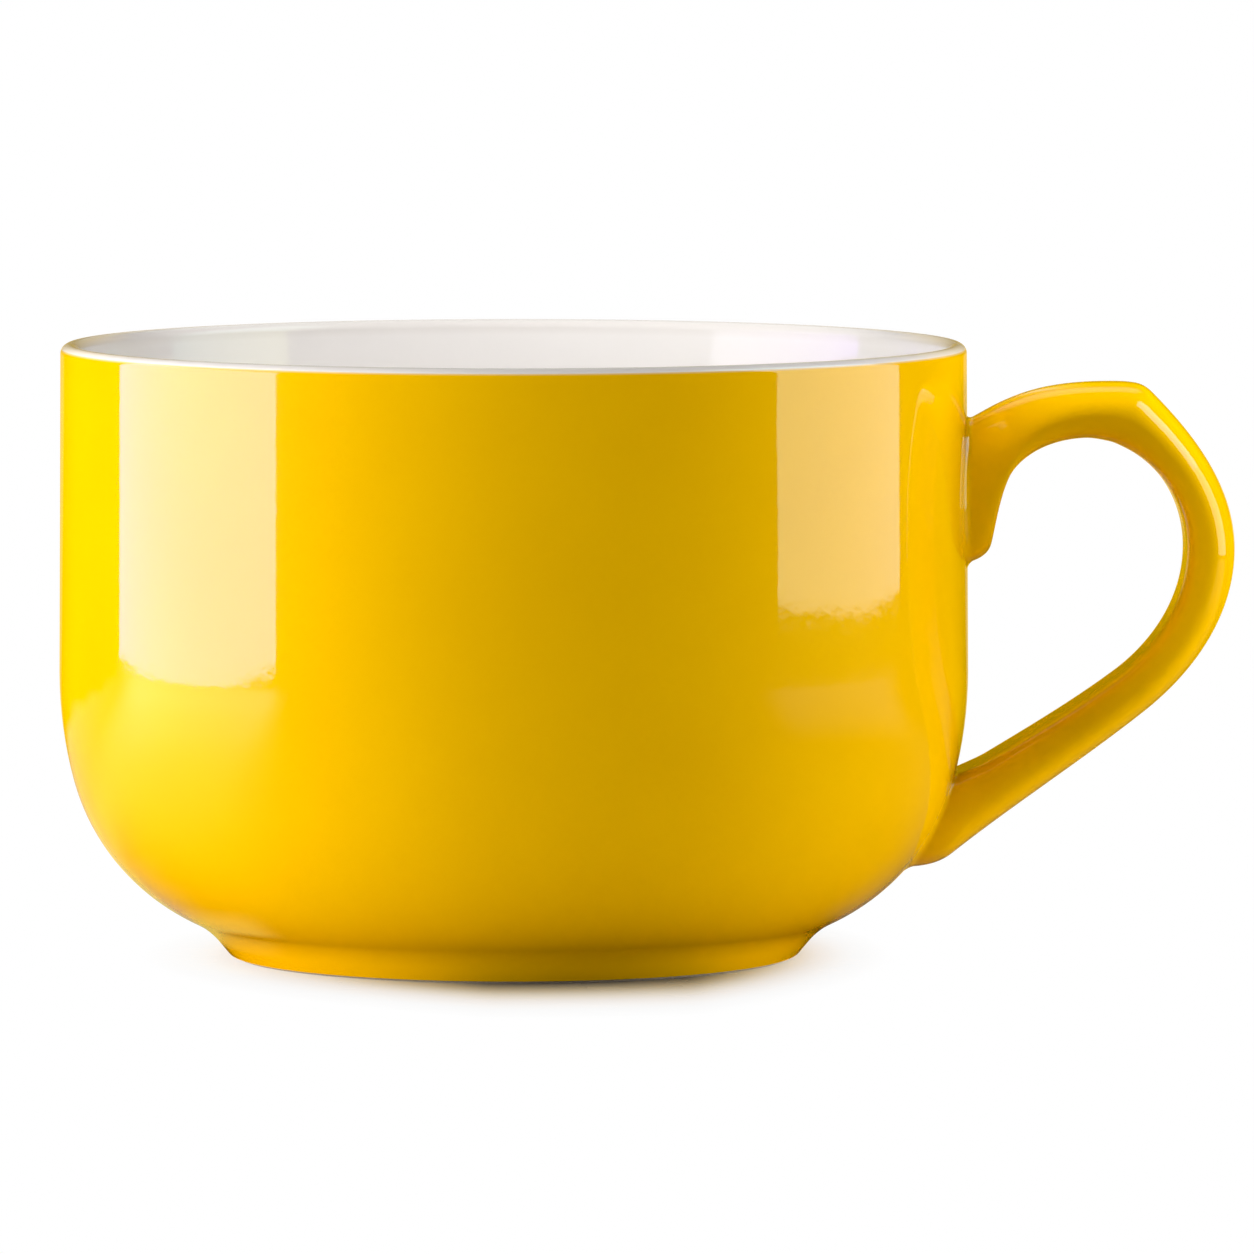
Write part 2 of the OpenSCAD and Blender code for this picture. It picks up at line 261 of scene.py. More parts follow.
# Fineness of the strap
LEG_STEPS = (20, 20, 30, 15, 15, 45, 45, 35, 15)
EDGE_PROBE, STATION_GAP = 0.02, 0.02
SECTION_POINTS, SECTION_TRIES = 128, 20001
FILLET_STEPS = 12


def heading(degrees):
    """Step of length 1 in a direction."""
    return np.array([math.cos(math.radians(degrees)), math.sin(math.radians(degrees))])


def edge_point(knots, s):
    """Point on an edge at a place counted in knots."""
    i = min(int(s), LEGS - 1)
    u = s - i
    a, b = knots[i], knots[i + 1]
    p, q = np.array(a[:2]), np.array(b[:2])
    pull = np.linalg.norm(q - p) / (3 * math.cos(math.radians((b[2] - a[2]) / 4)) ** 2)
    return ((1 - u) ** 3 * p + 3 * u * (1 - u) ** 2 * (p + pull * heading(a[2]))
            + 3 * u * u * (1 - u) * (q - pull * heading(b[2])) + u ** 3 * q)


def edge_left(knots, s):
    """Unit normal to the left of an edge."""
    run = edge_point(knots, min(s + EDGE_PROBE, LEGS)) - edge_point(knots, max(s - EDGE_PROBE, 0))
    return np.array([-run[1], run[0]]) / np.linalg.norm(run)


def on_wall(p):
    """Place just under the glazed wall, straight inwards along X from a point."""
    return np.array([math.sqrt(bowl_radius(p[2]) ** 2 - p[1] ** 2) - SEAT_SINK, p[1], p[2]])


def half_width(s):
    """Half of the strap's width at a place along it, more towards either root."""
    near = max(1 - s / UPPER_ROOT_LEGS, 1 - (LEGS - s) / LOWER_ROOT_LEGS, 0)
    return (STRAP_W + (ROOT_W - STRAP_W) * ease(near, 0, 1)) / 2


def section_outline(span, half, a):
    """Depth and width of a point of the strap's section at an angle."""
    crown = math.cos(a) > 0
    power = CROWN_POWER if crown else FACE_POWER
    depth = span * (CROWN_SHARE if crown else 1 - CROWN_SHARE)
    u = depth * math.copysign(abs(math.cos(a)) ** (2 / power), math.cos(a))
    narrowing = FACE_NARROWING * max(-u / depth, 0) ** NARROWING_POWER
    return u, half * (1 - narrowing) * math.copysign(abs(math.sin(a)) ** (2 / power), math.sin(a))


def section_angles():
    """Angles that space the points of a usual section evenly."""
    fine = np.linspace(0, 2 * np.pi, SECTION_TRIES)
    outline = np.array([section_outline(STRAP_T, STRAP_W / 2, a) for a in fine])
    length = np.concatenate([[0], np.cumsum(np.linalg.norm(np.diff(outline, axis=0), axis=1))])
    return np.interp(length[-1] * np.arange(SECTION_POINTS) / SECTION_POINTS, length, fine)


ANGLES = section_angles()


def flat_section(s, grow):
    """Section of the strap at a place along it, grown on every side."""
    outer = edge_point(OUTER_EDGE, s) + grow * edge_left(OUTER_EDGE, s)
    inner = edge_point(INNER_EDGE, s) - grow * edge_left(INNER_EDGE, s)
    span = np.linalg.norm(outer - inner)
    along = (outer - inner) / span
    centre = inner + along * span * (1 - CROWN_SHARE)
    ring = []
    for a in ANGLES:
        u, v = section_outline(span, half_width(s) + grow, a)
        ring.append((centre[0] + along[0] * u, v, centre[1] + along[1] * u))
    return np.array(ring)


def strap_section(s, grow):
    """Section bent near either root so that the root lies on the curved wall."""
    ring = flat_section(s, grow)
    for weight, end in ((max(1 - s, 0) ** 2, 0), (max(1 - LEGS + s, 0) ** 2, LEGS)):
        if weight > 0:
            root = flat_section(end, grow)
            ring = ring + weight * (np.array([on_wall(p) for p in root]) - root)
    return ring


def strap_stations():
    """Places along the strap, each with the growth of its section by the root fillet."""
    def root(leg):
        reach = math.dist(OUTER_EDGE[leg][:2], OUTER_EDGE[leg + 1][:2])
        return [(FILLET_R * (1 - math.cos(a)) / reach, FILLET_R * (1 - math.sin(a)))
                for a in quarter_turn(FILLET_STEPS)]
    first = root(0)
    last = [(LEGS - s, grow) for s, grow in reversed(root(LEGS - 1))]
    between = [(i + k / n, 0.0) for i, n in enumerate(LEG_STEPS) for k in range(n)]
    low, high = first[-1][0] + STATION_GAP, last[0][0] - STATION_GAP
    return first + [q for q in between if low < q[0] < high] + last


def strap_coat(name):
    """Skin of glaze on the handle: the outer rings to the lower root, then the inner ones back."""
    stations = strap_stations()
    rings = [strap_section(s, grow) for s, grow in stations]
    rings += [strap_section(s, grow - GLAZE_T) for s, grow in reversed(stations)]
    n = SECTION_POINTS
    faces = []
    for i in range(len(rings)):
        faces += band(i * n, (i + 1) % len(rings) * n, n)
    return new_piece(name, np.concatenate(rings), faces)


# Colours of the finishes
YELLOW, LIGHT_YELLOW = (0.855, 0.467, 0.0, 1), (0.885, 0.492, 0.0, 1)
WHITE, LIGHT_WHITE = (0.905, 0.874, 0.848, 1), (0.925, 0.895, 0.87, 1)
# Bare clay darkened well below its own pale colour as a painted shade, so that the bare ring under the foot
# shows as a dark contact line
CLAY_IN_PAINTED_SHADE, LIGHT_CLAY_IN_PAINTED_SHADE = (0.36, 0.3, 0.22, 1), (0.47, 0.4, 0.31, 1)
SLIP, LIGHT_SLIP = (0.55, 0.48, 0.4, 1), (0.68, 0.6, 0.52, 1)
WHITE_SHEEN = (1, 0.85, 0.42, 1)

# Glaze that runs thin at the lip: its colour, how far that goes, and the heights in metres between which
THIN_YELLOW, THIN_YELLOW_SHARE = (0.9, 0.86, 0.72, 1), 0.85
THIN_YELLOW_Z = (LIP_Z * MM + 3.5e-4, (LIP_Z + LIP_T / 4) * MM + 1.5e-4)
THIN_WHITE, THIN_WHITE_SHARE = (0.8, 0.76, 0.725, 1), 1.0
THIN_WHITE_Z = ((LIP_Z - 0.8) * MM, (LIP_Z + LIP_T / 3) * MM)

# Grain of the finishes: scale of the noise, with the depth of its relief in metres
WAVES, WAVE_DEPTH = 40, 4e-5
YELLOW_PEEL, YELLOW_PEEL_DEPTH = 700, 3e-6
WHITE_PEEL, WHITE_PEEL_DEPTH = 420, 8e-6
CLAY_GRAINS, CLAY_GRAIN_ROUGHNESS, CLAY_GRAIN_DEPTH = 2600, 0.65, 6e-5
YELLOW_CLOUDS, WHITE_CLOUDS, HAZE = 45, 40, 900
CLAY_STAINS, CLAY_STAIN_SHARE = 120, 0.5
TABLE_CLOUDS = 60

# Gloss of the finishes: least and greatest roughness, and how strongly the surface reflects
YELLOW_ROUGHNESS, YELLOW_IOR = (0.025, 0.05), 1.5
WHITE_ROUGHNESS, WHITE_SPECULAR = (0.04, 0.07), 0.35
CLAY_ROUGHNESS, CLAY_IOR = (0.75, 0.95), 1.45
TABLE_ROUGHNESS, TABLE_IOR, TABLE_SPECULAR = (0.22, 0.3), 1.45, 0.2


class Recipe:
    """Node tree of one material, with its Principled shader."""

    def __init__(self, name):
        self.material = bpy.data.materials.new(name)
        self.material.use_nodes = True
        self.tree = self.material.node_tree
        self.shader = self.tree.nodes["Principled BSDF"]
        self.place = self.add("ShaderNodeTexCoord").outputs["Object"]

    def add(self, kind, **inputs):
        """New node with values or links on its sockets."""
        node = self.tree.nodes.new(kind)
        for key, value in inputs.items():
            self.feed(node.inputs[key.replace("_", " ")], value)
        return node

    def feed(self, socket, value):
        """Links a socket, or sets its value."""
        if isinstance(value, bpy.types.NodeSocket):
            self.tree.links.new(value, socket)
        else:
            socket.default_value = value

    def height(self):
        """Height above the table in metres."""
        return self.add("ShaderNodeSeparateXYZ", Vector=self.place).outputs["Z"]

    def painted(self, name, output="Color"):
        """Value that the mesh has at its points."""
        node = self.add("ShaderNodeAttribute")
        node.attribute_name = name
        return node.outputs[output]

    def noise(self, scale, detail=2.0, roughness=0.5):
        """Cloudy pattern in space."""
        node = self.add("ShaderNodeTexNoise", Vector=self.place, Scale=scale, Detail=detail,
                        Roughness=roughness)
        return node.outputs["Fac"]

    def spread(self, value, low, high, start=0.3, end=0.7):
        """Value mapped to low at start and high at end; noise lies mostly between the usual two."""
        node = self.add("ShaderNodeMapRange", Value=value)
        for key, number in (("From Min", start), ("From Max", end), ("To Min", low), ("To Max", high)):
            node.inputs[key].default_value = number
        return node.outputs["Result"]

    def blend(self, share, a, b):
        """Colour between two others."""
        node = self.tree.nodes.new("ShaderNodeMix")
        node.data_type = "RGBA"
        self.feed(node.inputs["Factor"], share)
        colours = [s for s in node.inputs if s.type == "RGBA"]
        self.feed(colours[0], a)
        self.feed(colours[1], b)
        return [s for s in node.outputs if s.type == "RGBA"][0]

    def bump(self, *layers):
        """Relief from layers of height and depth in metres."""
        normal = None
        for height, depth in layers:
            node = self.add("ShaderNodeBump", Height=height, Strength=1.0, Distance=depth)
            if normal is not None:
                self.feed(node.inputs["Normal"], normal)
            normal = node.outputs["Normal"]
        self.feed(self.shader.inputs["Normal"], normal)

    def show(self, shader):
        """Makes another shader the material's surface."""
        self.feed(self.tree.nodes["Material Output"].inputs["Surface"], shader.outputs[0])

    def finish(self, **inputs):
        """The material, with values or links on its Principled shader."""
        for key, value in inputs.items():
            self.feed(self.shader.inputs[key.replace("_", " ")], value)
        return self.material


def yellow_glaze():
    """Yellow glaze, thin and pale where it ends at the lip."""
    r = Recipe("yellow_glaze")
    cloud = r.spread(r.noise(YELLOW_CLOUDS, 3), 0.0, 1.0)
    colour = r.blend(cloud, YELLOW, LIGHT_YELLOW)
    thin = r.spread(r.height(), 0.0, THIN_YELLOW_SHARE, *THIN_YELLOW_Z)
    colour = r.blend(thin, colour, THIN_YELLOW)
    r.bump((r.noise(WAVES, 1), WAVE_DEPTH), (r.noise(YELLOW_PEEL, 2), YELLOW_PEEL_DEPTH))
    return r.finish(Base_Color=colour, Roughness=r.spread(r.noise(HAZE, 2), *YELLOW_ROUGHNESS),
                    IOR=YELLOW_IOR)


def white_glaze():
    """White glaze, thin and a little darker on top of the lip."""
    r = Recipe("white_glaze")
    cloud = r.spread(r.noise(WHITE_CLOUDS, 3), 0.0, 1.0)
    colour = r.blend(cloud, WHITE, LIGHT_WHITE)
    thin = r.spread(r.height(), 0.0, THIN_WHITE_SHARE, *THIN_WHITE_Z)
    colour = r.blend(thin, colour, THIN_WHITE)
    r.bump((r.noise(WAVES, 1), WAVE_DEPTH), (r.noise(WHITE_PEEL, 2), WHITE_PEEL_DEPTH))
    return r.finish(Base_Color=colour, Roughness=r.spread(r.noise(HAZE, 2), *WHITE_ROUGHNESS),
                    Specular_IOR_Level=WHITE_SPECULAR, Specular_Tint=WHITE_SHEEN)


def fired_clay(name, dark, light):
    """Bare clay with fine grains and wider stains."""
    r = Recipe(name)
    grain = r.spread(r.noise(CLAY_GRAINS, 4, CLAY_GRAIN_ROUGHNESS), 0.0, 1.0)
    stain = r.spread(r.noise(CLAY_STAINS, 3), 0.0, CLAY_STAIN_SHARE)
    colour = r.blend(stain, r.blend(grain, dark, light), dark)
    r.bump((r.noise(CLAY_GRAINS, 4, CLAY_GRAIN_ROUGHNESS), CLAY_GRAIN_DEPTH))
    return r.finish(Base_Color=colour, Roughness=r.spread(grain, *CLAY_ROUGHNESS, 0, 1), IOR=CLAY_IOR)


def combined(tree, operation, a, b):
    """Result of a Math node's operation on two sockets."""
    node = tree.nodes.new("ShaderNodeMath")
    node.operation = operation
    tree.links.new(a, node.inputs[0])
    tree.links.new(b, node.inputs[1])
    return node.outputs[0]


def seen_directly(tree):
    """1 for the camera and for what it sees mirrored or through something clear, and 0 for other light."""
    path = tree.nodes.new("ShaderNodeLightPath")
    seen = path.outputs["Is Camera Ray"]
    for kind in ("Is Glossy Ray", "Is Transmission Ray"):
        seen = combined(tree, "MAXIMUM", seen, path.outputs[kind])
    return seen


def table_material():
    """Table that turns to plain white away from the cup, and keeps the cup's shadow near it. Near the foot
    its colour is darkened as a painted shade, and its white is warmed as a painted reflection of the cup.
    """
    r = Recipe("white_table")
    share, painted_reflection_tint, ground_with_painted_shade = r.painted("clear", "Fac"), r.painted("painted_reflection_tint"), r.painted("ground_with_painted_shade")
    factor = combined(r.tree, "MULTIPLY", share, seen_directly(r.tree))
    glow = r.add("ShaderNodeEmission", Color=painted_reflection_tint, Strength=1.0)
    mix = r.add("ShaderNodeMixShader")
    for socket, value in zip(mix.inputs, (factor, r.shader.outputs[0], glow.outputs[0])):
        r.feed(socket, value)
    r.show(mix)
    return r.finish(Base_Color=ground_with_painted_shade, Roughness=r.spread(r.noise(TABLE_CLOUDS, 2), *TABLE_ROUGHNESS),
                    IOR=TABLE_IOR, Specular_IOR_Level=TABLE_SPECULAR)


def glow_material():
    """Light of the colour in the mesh's glow values."""
    r = Recipe("studio_glow")
    r.show(r.add("ShaderNodeEmission", Color=r.painted("glow"), Strength=1.0))
    return r.material


# Pieces

yellow_finish, white_finish = yellow_glaze(), white_glaze()
# Bare clay in a colour darkened as a painted shade, which shows on the foot's bare ring
clay_in_painted_shade = fired_clay("bare_clay", CLAY_IN_PAINTED_SHADE, LIGHT_CLAY_IN_PAINTED_SHADE)
slip_finish = fired_clay("joining_slip", SLIP, LIGHT_SLIP)

bowl_body = turned("bowl_body", chain(
    outside(GLAZE_T, 0), lip(GLAZE_T, 0, 180), inside(GLAZE_T), recess(0, 0),
    line((RECESS_OUT_R, 0), (FOOT_R - GLAZE_T / math.cos(LEAN) - LOOP_GAP, 0))))
yellow_coat = turned("yellow_coat", chain(
    outside(0, BARE_H), lip(0, 0, BORDER_ANGLE),
    lip(GLAZE_T, 0, BORDER_ANGLE)[::-1], outside(GLAZE_T, BARE_H)[::-1]))
white_coat = turned("white_coat", chain(
    lip(0, BORDER_ANGLE, 180), inside(0),
    inside(GLAZE_T)[::-1], lip(GLAZE_T, BORDER_ANGLE, 180)[::-1]))
base_coat = turned("base_coat", chain(recess(0, BARE_H), recess(GLAZE_T, BARE_H)[::-1]))
handle_coat = strap_coat("handle_coat")

for piece, node, slot, finish in (
        (bowl_body, "bowl", "bare_clay", clay_in_painted_shade),
        (yellow_coat, "yellow_glaze", "yellow_glaze", yellow_finish),
        (white_coat, "white_glaze", "white_glaze", white_finish),
        (base_coat, "base_glaze", "white_glaze", white_finish),
        (handle_coat, "handle_glaze", "yellow_glaze", yellow_finish)):
    piece.data.materials.append(finish)
    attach(piece, "root")
    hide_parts(node)

for node, finish in (("handle", clay_in_painted_shade), ("upper_slip", slip_finish), ("lower_slip", slip_finish)):
    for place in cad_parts[node].material_slots:
        place.material = finish

# Stage, in metres

SPOKES = 144
studio_glow = glow_material()


def stage_surface(name, points, faces):
    """Surface that isn't part of the object."""
    mesh = bpy.data.meshes.new(name)
    mesh.from_pydata(points, [], faces)
    surface = bpy.data.objects.new(name, mesh)
    bpy.context.scene.collection.objects.link(surface)
    return surface


def ring_surface(name, rings):
    """Stage surface through level rings of radius and height, round the axis."""
    turn = [2 * math.pi * j / SPOKES for j in range(SPOKES)]
    points = [(r * math.cos(t), r * math.sin(t), z) for r, z in rings for t in turn]
    faces = []
    for i in range(len(rings) - 1):
        faces += band(i * SPOKES, (i + 1) * SPOKES, SPOKES)
    return stage_surface(name, points, faces)


def strip(name, stations):
    """Stage strip of four-cornered faces from stations of two points."""
    points = [point for station in stations for point in station]
    faces = [(2 * k, 2 * k + 1, 2 * k + 3, 2 * k + 2) for k in range(len(stations) - 1)]
    return stage_surface(name, points, faces)


def paint(thing, name, colours):
    """Gives a mesh a colour at every point."""
    layer = thing.data.attributes.new(name, "FLOAT_COLOR", "POINT")
    layer.data.foreach_set("color", [value for colour in colours for value in (*colour, 1)])


def only_in_reflections(thing, glow):
    """Gives a stage surface its glow at every point, and hides it from all but glossy rays."""
    paint(thing, "glow", glow)
    thing.data.materials.append(studio_glow)
    for kind in ("camera", "diffuse", "transmission", "volume_scatter", "shadow"):
        setattr(thing, "visible_" + kind, False)


# Look of the table by the distance from the foot: share of plain white, green and blue of that white, which
# near the foot warm it as a painted reflection of the cup, and the table's colour, which near the foot is
# darkened as a painted shade. At the left and right, the distance counts for more from some x on
CLEAR_BY_GAP = ((0, 0.004, 0.008, 0.012, 0.016, 0.02, 0.026, 0.04),
                (0, 0.12, 0.28, 0.48, 0.66, 0.78, 0.9, 1))
PAINTED_REFLECTION_GREEN_BY_GAP = ((0.006, 0.012, 0.02, 0.03), (0.78, 0.88, 0.95, 1))
PAINTED_REFLECTION_BLUE_BY_GAP = ((0.006, 0.012, 0.02, 0.03), (0.4, 0.68, 0.9, 1))
GROUND_WITH_PAINTED_SHADE_BY_GAP = ((0, 0.007, 0.02, 0.05), (0.22, 0.62, 0.87, 0.9))
LEFT_GAIN, LEFT_START = 0.65, 0.003
RIGHT_GAIN, RIGHT_START = 1.1, 0.022
FINE_START, FINE_STEP, FINE_COUNT = 0.0355, 0.0015, 30
TABLE_RINGS = ([1e-4, 0.02, 0.034] + [FINE_START + FINE_STEP * k for k in range(FINE_COUNT)]
               + [0.085, 0.1, 0.12, 0.2, 0.5, 1.5, 4.0, 14.0])


def table_look(x, y):
    """Share of plain white in the table's look at a place, that white's painted warm reflection of the cup,
    and the table's colour darkened as a painted shade near the foot.
    """
    gap = math.hypot(x, y) - FOOT_R * MM
    gap += LEFT_GAIN * max(0, -x - LEFT_START) + RIGHT_GAIN * max(0, x - RIGHT_START)
    ground_with_painted_shade = np.interp(gap, *GROUND_WITH_PAINTED_SHADE_BY_GAP)
    return (np.interp(gap, *CLEAR_BY_GAP),
            (1, np.interp(gap, *PAINTED_REFLECTION_GREEN_BY_GAP), np.interp(gap, *PAINTED_REFLECTION_BLUE_BY_GAP)), (ground_with_painted_shade, ground_with_painted_shade, ground_with_painted_shade))


table = ring_surface("table", [(r, 0) for r in TABLE_RINGS])
table.data.materials.append(table_material())
# Painted shade in the table's colour and a painted warm reflection of the cup in its white, both near the
# foot
shares, painted_reflection_tints, grounds_with_painted_shade = zip(*(table_look(v.co.x, v.co.y) for v in table.data.vertices))
table.data.attributes.new("clear", "FLOAT", "POINT").data.foreach_set("value", shares)
paint(table, "painted_reflection_tint", painted_reflection_tints)
paint(table, "ground_with_painted_shade", grounds_with_painted_shade)

# Studio that only reflections show: dark at the front and the sides, so that the glaze keeps its deep
# colour, but for what the softboxes light; gold and white behind the cup, so that no outline goes black.
# Its sides are bearings from the front in degrees, and its reaches are distances from the axis
CARD_Z, CARD_R, CARD_H = 2e-4, 1.2, 2.2
CARD_RINGS = (0.0361, 0.0372, 0.0381, 0.039, 0.0405, 0.042, 0.044, 0.046, 0.048, 0.055, 0.065, 0.08, 0.1,
              0.13, 0.17, 0.2, 0.24, 0.28, 0.35, 0.43, 0.52, 0.545, 0.57, 0.7, 0.9, CARD_R)
WALL_RINGS = (0.1, 0.25, 0.4, 0.55, 0.65, 0.75, 0.85, 1.0, 1.15, 1.3, 1.5, CARD_H)
CEILING_RINGS = (0.8, 0.4, 1e-4)
GOLD = np.array((0.72, 0.47, 0.0))
CREAM = np.array((0.8, 0.75, 0.68))
PALE_GOLD = np.array((0.33, 0.31, 0.0))
FOOT_GLOW = np.array((0.55, 0.5, 0.14))

# Wall: gold low down, with cream in its middle, and white higher up
WALL_GOLD_SIDE, WALL_GOLD_TOP = (125, 145), (0.55, 0.75)
WALL_GOLD_BY_HEIGHT = ((0.25, 0.4), (0.6, 1))
CREAM_SIDE, CREAM_FOOT = (177, 179), (0.25, 0.4)
WALL_WHITE, WALL_WHITE_SIDE = 0.5, (150, 165)
WALL_WHITE_FOOT, WALL_WHITE_TOP = (0.7, 0.85), (1.3, 1.5)

# Table behind the cup
BACK_GOLD_SIDE, BACK_GOLD_BY_REACH = (120, 145), ((0.04, 0.08, 0.2, 0.3), (0, 0.5, 0.5, 1))
BACK_WHITE, BACK_WHITE_START, BACK_WHITE_END = 0.16, (160, 163), (173, 175.5)

# Table close to the cup, with the share of y in the reach from which it is lit
NEAR_REACH, NEAR_NONE, NEAR_FULL, NEAR_START = (0.045, 0.065), (-0.4, -0.1), (0.15, 0.8), (0.041, 0.046)
LEFT_NEAR, LEFT_NEAR_END = 0.3, (0.2, 0.235)
RIGHT_NEAR, RIGHT_NEAR_END = 0.08, (0.06, 0.1)
PALE_GOLD_SIDE, PALE_GOLD_BY_REACH = (100, 115), ((0.042, 0.05, 0.1, 0.14), (0, 1, 0.7, 0))
FOOT_GLOW_SIDE, FOOT_GLOW_START, FOOT_GLOW_END = (50, 62), (0.0372, 0.039), (0.042, 0.046)

# Pools of light by the softboxes: the left one lies between two slanting edges, each with its soft border
LEFT_POOL_BY_REACH = ((0.06, 0.12, 0.2, 0.4, 0.53, 0.56), (0, 0.42, 1.1, 1.8, 1.6, 0))
FRONT_SLOPE, FRONT_OFFSET, FRONT_BORDER = 0.59, 0.019, (-0.012, 0.035)
BACK_SLOPE, BACK_OFFSET, BACK_BORDER = 0.35, 0.01, (-0.05, 0.05)
RIGHT_POOL_BY_REACH = ((0.17, 0.26, 0.4, 0.52, 0.56), (0, 0.25, 0.33, 0.35, 0))
RIGHT_POOL_START, RIGHT_POOL_END = (60, 70), (100, 110)


def wall_light(side, z):
    """Colour of the light from the wall."""
    middle = ease(side, *CREAM_SIDE) * ease(z, *CREAM_FOOT)
    gold = GOLD * ease(side, *WALL_GOLD_SIDE) * np.interp(z, *WALL_GOLD_BY_HEIGHT)
    low = fade(z, *WALL_GOLD_TOP) * (gold * (1 - middle) + CREAM * middle)
    return low + WALL_WHITE * ease(z, *WALL_WHITE_FOOT) * fade(z, *WALL_WHITE_TOP) * ease(
        side, *WALL_WHITE_SIDE)


def table_light(x, y, side):
    """Colour of the light from the table."""
    reach = math.hypot(x, y)
    gold = GOLD * ease(side, *BACK_GOLD_SIDE) * np.interp(reach, *BACK_GOLD_BY_REACH)
    white = BACK_WHITE * ease(side, *BACK_WHITE_START) * fade(side, *BACK_WHITE_END)
    near = ease(y / reach, np.interp(reach, NEAR_REACH, NEAR_NONE), np.interp(reach, NEAR_REACH, NEAR_FULL))
    near *= ease(reach, *NEAR_START)
    if x < 0:
        pool = np.interp(reach, *LEFT_POOL_BY_REACH)
        pool *= ease(y - FRONT_SLOPE * x + FRONT_OFFSET, *FRONT_BORDER)
        white += pool * ease(-y - BACK_SLOPE * x - BACK_OFFSET, *BACK_BORDER)
        white += LEFT_NEAR * near * fade(y, *LEFT_NEAR_END)
        gold += PALE_GOLD * ease(side, *PALE_GOLD_SIDE) * np.interp(reach, *PALE_GOLD_BY_REACH)
        gold += FOOT_GLOW * ease(reach, *FOOT_GLOW_START) * fade(reach, *FOOT_GLOW_END) * ease(
            side, *FOOT_GLOW_SIDE)
    else:
        pool = np.interp(reach, *RIGHT_POOL_BY_REACH) * ease(side, *RIGHT_POOL_START)
        pool *= fade(side, *RIGHT_POOL_END)
        white += pool + RIGHT_NEAR * near * fade(y, *RIGHT_NEAR_END)
    return gold + white


def studio_light(x, y, z):
    """Colour of the light from a place on the table, the wall round it or the dark ceiling."""
    side = abs(math.degrees(math.atan2(x, -y)))
    if z > 2 * CARD_Z:
        return wall_light(side, z) * (z < CARD_H - CARD_Z)
    return table_light(x, y, side)


cards = ring_surface("dark_cards", [(r, CARD_Z) for r in CARD_RINGS] + [(CARD_R, z) for z in WALL_RINGS]
                     + [(r, CARD_H) for r in CEILING_RINGS])
only_in_reflections(cards, [studio_light(*v.co) for v in cards.data.vertices])

# Fronts of the softboxes as reflections show them: name, x, near and far end along Y, low and high end,
# and the light at the near and the far end
LEFT_X, RIGHT_X, RIGHT_ENDS, TOP_GLOW = -0.42, 0.54, (-0.233, 0.195), (2.0, 3.4, 4.8)
PANELS = (
    ("left_panel", LEFT_X, -0.256, 0.174, 0.009, 0.2535, (3.1, 3.5, 7.9), (2.2, 1.3, 6.6)),
    ("right_panel", RIGHT_X, *RIGHT_ENDS, 0.0118, 0.3035, (2.9, 3.6, 2.9), (1.1, 2.0, 2.5)),
    ("right_panel_top", RIGHT_X, *RIGHT_ENDS, 0.3, 0.97, TOP_GLOW, TOP_GLOW),
)
PANEL_CORNER, PANEL_CORNER_STEPS = 0.05, 12


def panel(name, x, near, far, low, high, near_glow, far_glow):
    """Upright front across X, with round upper corners."""
    turn = quarter_turn(PANEL_CORNER_STEPS)
    ends = [(near + PANEL_CORNER * (1 - math.sin(a)), a) for a in reversed(turn)]
    ends += [(far - PANEL_CORNER * (1 - math.sin(a)), a) for a in turn]
    front = strip(name, [((x, y, low), (x, y, high - PANEL_CORNER * (1 - math.cos(a)))) for y, a in ends])
    near_glow, far_glow = np.array(near_glow), np.array(far_glow)
    only_in_reflections(front, [near_glow + (far_glow - near_glow) * (v.co.y - near) / (far - near)
                                for v in front.data.vertices])


for row in PANELS:
    panel(*row)

# Lamps, in metres, degrees and watts, which reflections don't show: the panels stand for them there

# Flat lamps: name, place, target, height, width and radiance
CUP_MIDDLE = (0, 0, 0.04)
SOFTBOXES = (
    ("left_softbox", (LEFT_X, -0.041, 0.1285), (0, -0.041, 0.1285), 0.25, 0.43, 2.6),
    ("left_key", (-0.655, -0.459, 0.09), CUP_MIDDLE, 0.15, 0.4, 6.7),
    ("left_low", (-0.788, -0.139, 0.05), CUP_MIDDLE, 0.09, 0.5, 17.5),
    ("left_front", (-0.725, -0.338, 0.05), CUP_MIDDLE, 0.09, 0.25, 17.5),
    ("right_low", (0.797, 0.07, 0.05), CUP_MIDDLE, 0.09, 0.5, 37.0),
    ("back_fill", (0, 0.8, 0.9), CUP_MIDDLE, 0.5, 0.5, 0.8),
)

# Narrow lamps: name, place, target, width of the cone, power and size
SPOT_SIZE, WIDE_SPOT_SIZE, SPOT_BLEND = 0.008, 0.05, 0.5
SPOTS = (
    ("inside_lamp", (0, 0, 1.5), (0, 0, 0), 3.9, 48.0, WIDE_SPOT_SIZE),
    ("inside_front_lamp", (0, -1.0, 1.2), (0, 0.05, 0.066), 4.2, 44.0, SPOT_SIZE),
    ("handle_lamp", (0.078, 0, 1.5), (0.078, 0, 0), 1.6, 78.0, SPOT_SIZE),
    ("grip_lamp", (0.5, -1.2, 0.5), (0.089, -0.009, 0.048), 1.4, 11.0, SPOT_SIZE),
)


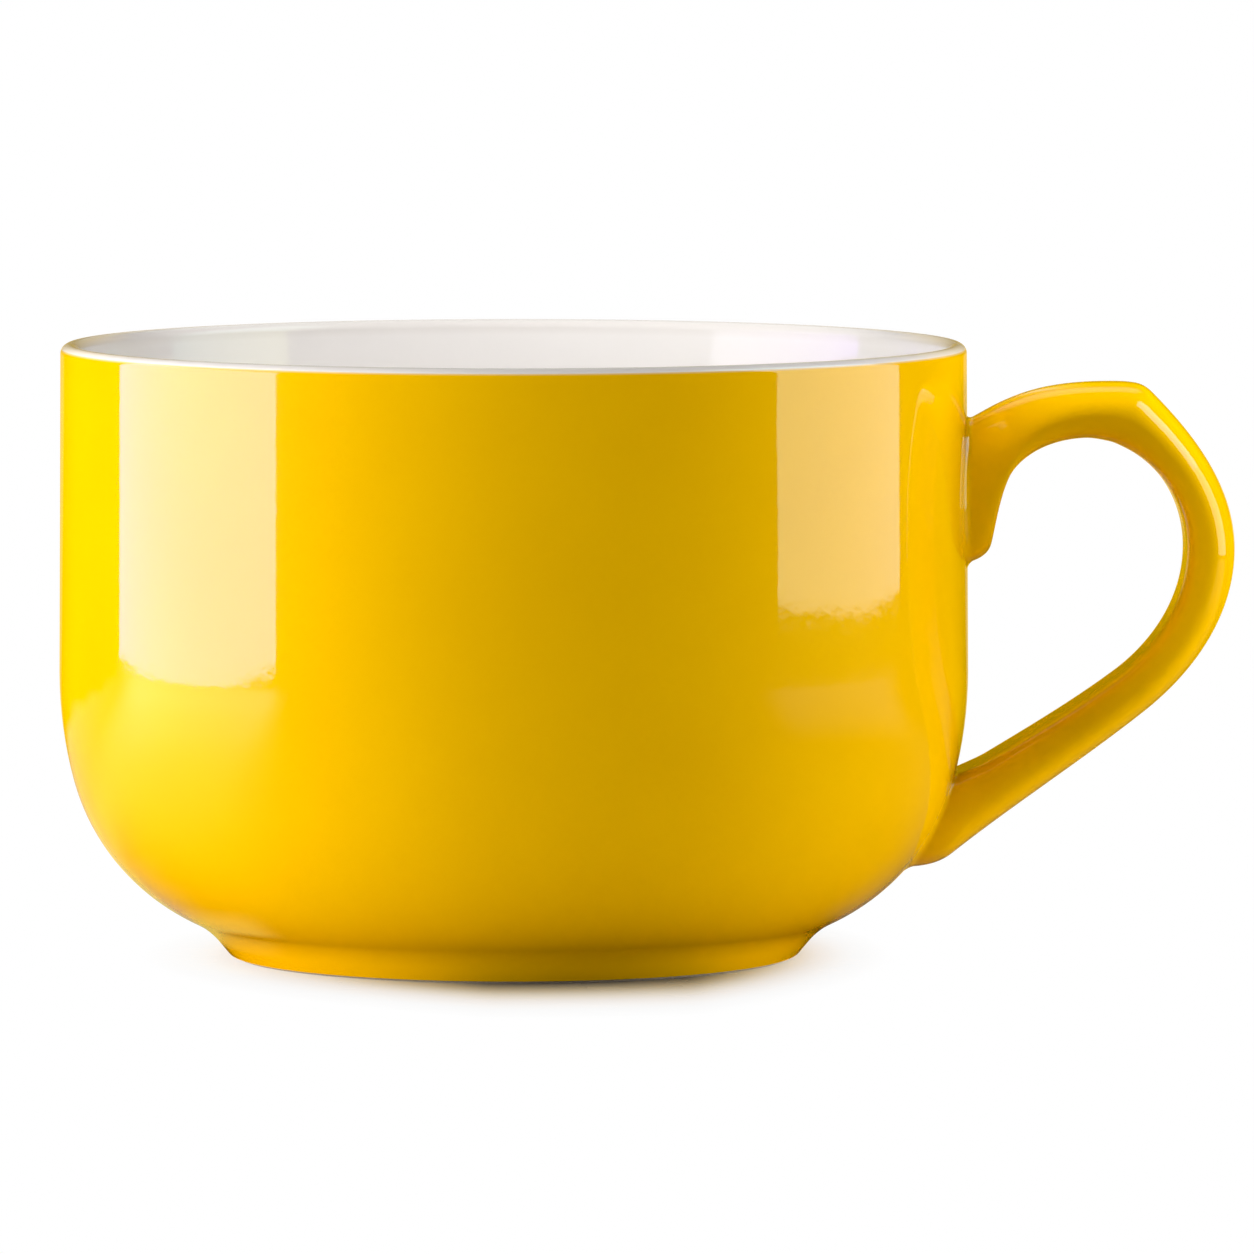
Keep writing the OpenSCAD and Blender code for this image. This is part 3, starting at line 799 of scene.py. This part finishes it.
def hang(name, lamp, place, target):
    """Puts a lamp up, turned to its target."""
    holder = bpy.data.objects.new(name, lamp)
    holder.location = place
    holder.rotation_euler = (Vector(target) - Vector(place)).to_track_quat("-Z", "Y").to_euler()
    holder.visible_glossy = False
    bpy.context.scene.collection.objects.link(holder)
    return holder


for name, place, target, height, width, radiance in SOFTBOXES:
    lamp = bpy.data.lights.new(name, "AREA")
    lamp.shape = "RECTANGLE"
    lamp.size, lamp.size_y = width, height
    lamp.energy = radiance * math.pi * height * width
    hang(name, lamp, place, target).visible_camera = False

for name, place, target, width, power, size in SPOTS:
    lamp = bpy.data.lights.new(name, "SPOT")
    lamp.energy, lamp.shadow_soft_size = power, size
    lamp.spot_size, lamp.spot_blend = math.radians(width), SPOT_BLEND
    hang(name, lamp, place, target)

# World: plain white where it is seen, and a weaker light on the object
WORLD_LIGHT, WORLD_SEEN = 0.45, 1.0
scene = bpy.context.scene
world = bpy.data.worlds.new("studio")
world.use_nodes = True
scene.world = world
tree = world.node_tree
backdrop = tree.nodes["Background"]
seen = seen_directly(tree)
level = tree.nodes.new("ShaderNodeMapRange")
tree.links.new(seen, level.inputs["Value"])
level.inputs["To Min"].default_value = WORLD_LIGHT
level.inputs["To Max"].default_value = WORLD_SEEN
tree.links.new(level.outputs["Result"], backdrop.inputs["Strength"])
backdrop.inputs["Color"].default_value = (1, 1, 1, 1)

# Camera, as fitted to the rim, wall and foot: place in metres, turns in degrees, lens in millimetres
CAMERA_PLACE = (0, -1.585, 0.16573)
CAMERA_DOWN, CAMERA_RIGHT = 4.4787, 0.5176
SENSOR_W, FOCAL_LENGTH = 36.0, 360.47
camera_data = bpy.data.cameras.new("camera")
camera_data.sensor_width = SENSOR_W
camera_data.lens = FOCAL_LENGTH
camera = bpy.data.objects.new("camera", camera_data)
camera.location = CAMERA_PLACE
camera.rotation_euler = (math.radians(90 - CAMERA_DOWN), 0, -math.radians(CAMERA_RIGHT))
scene.collection.objects.link(camera)
scene.camera = camera
scene.view_settings.view_transform = "Standard"
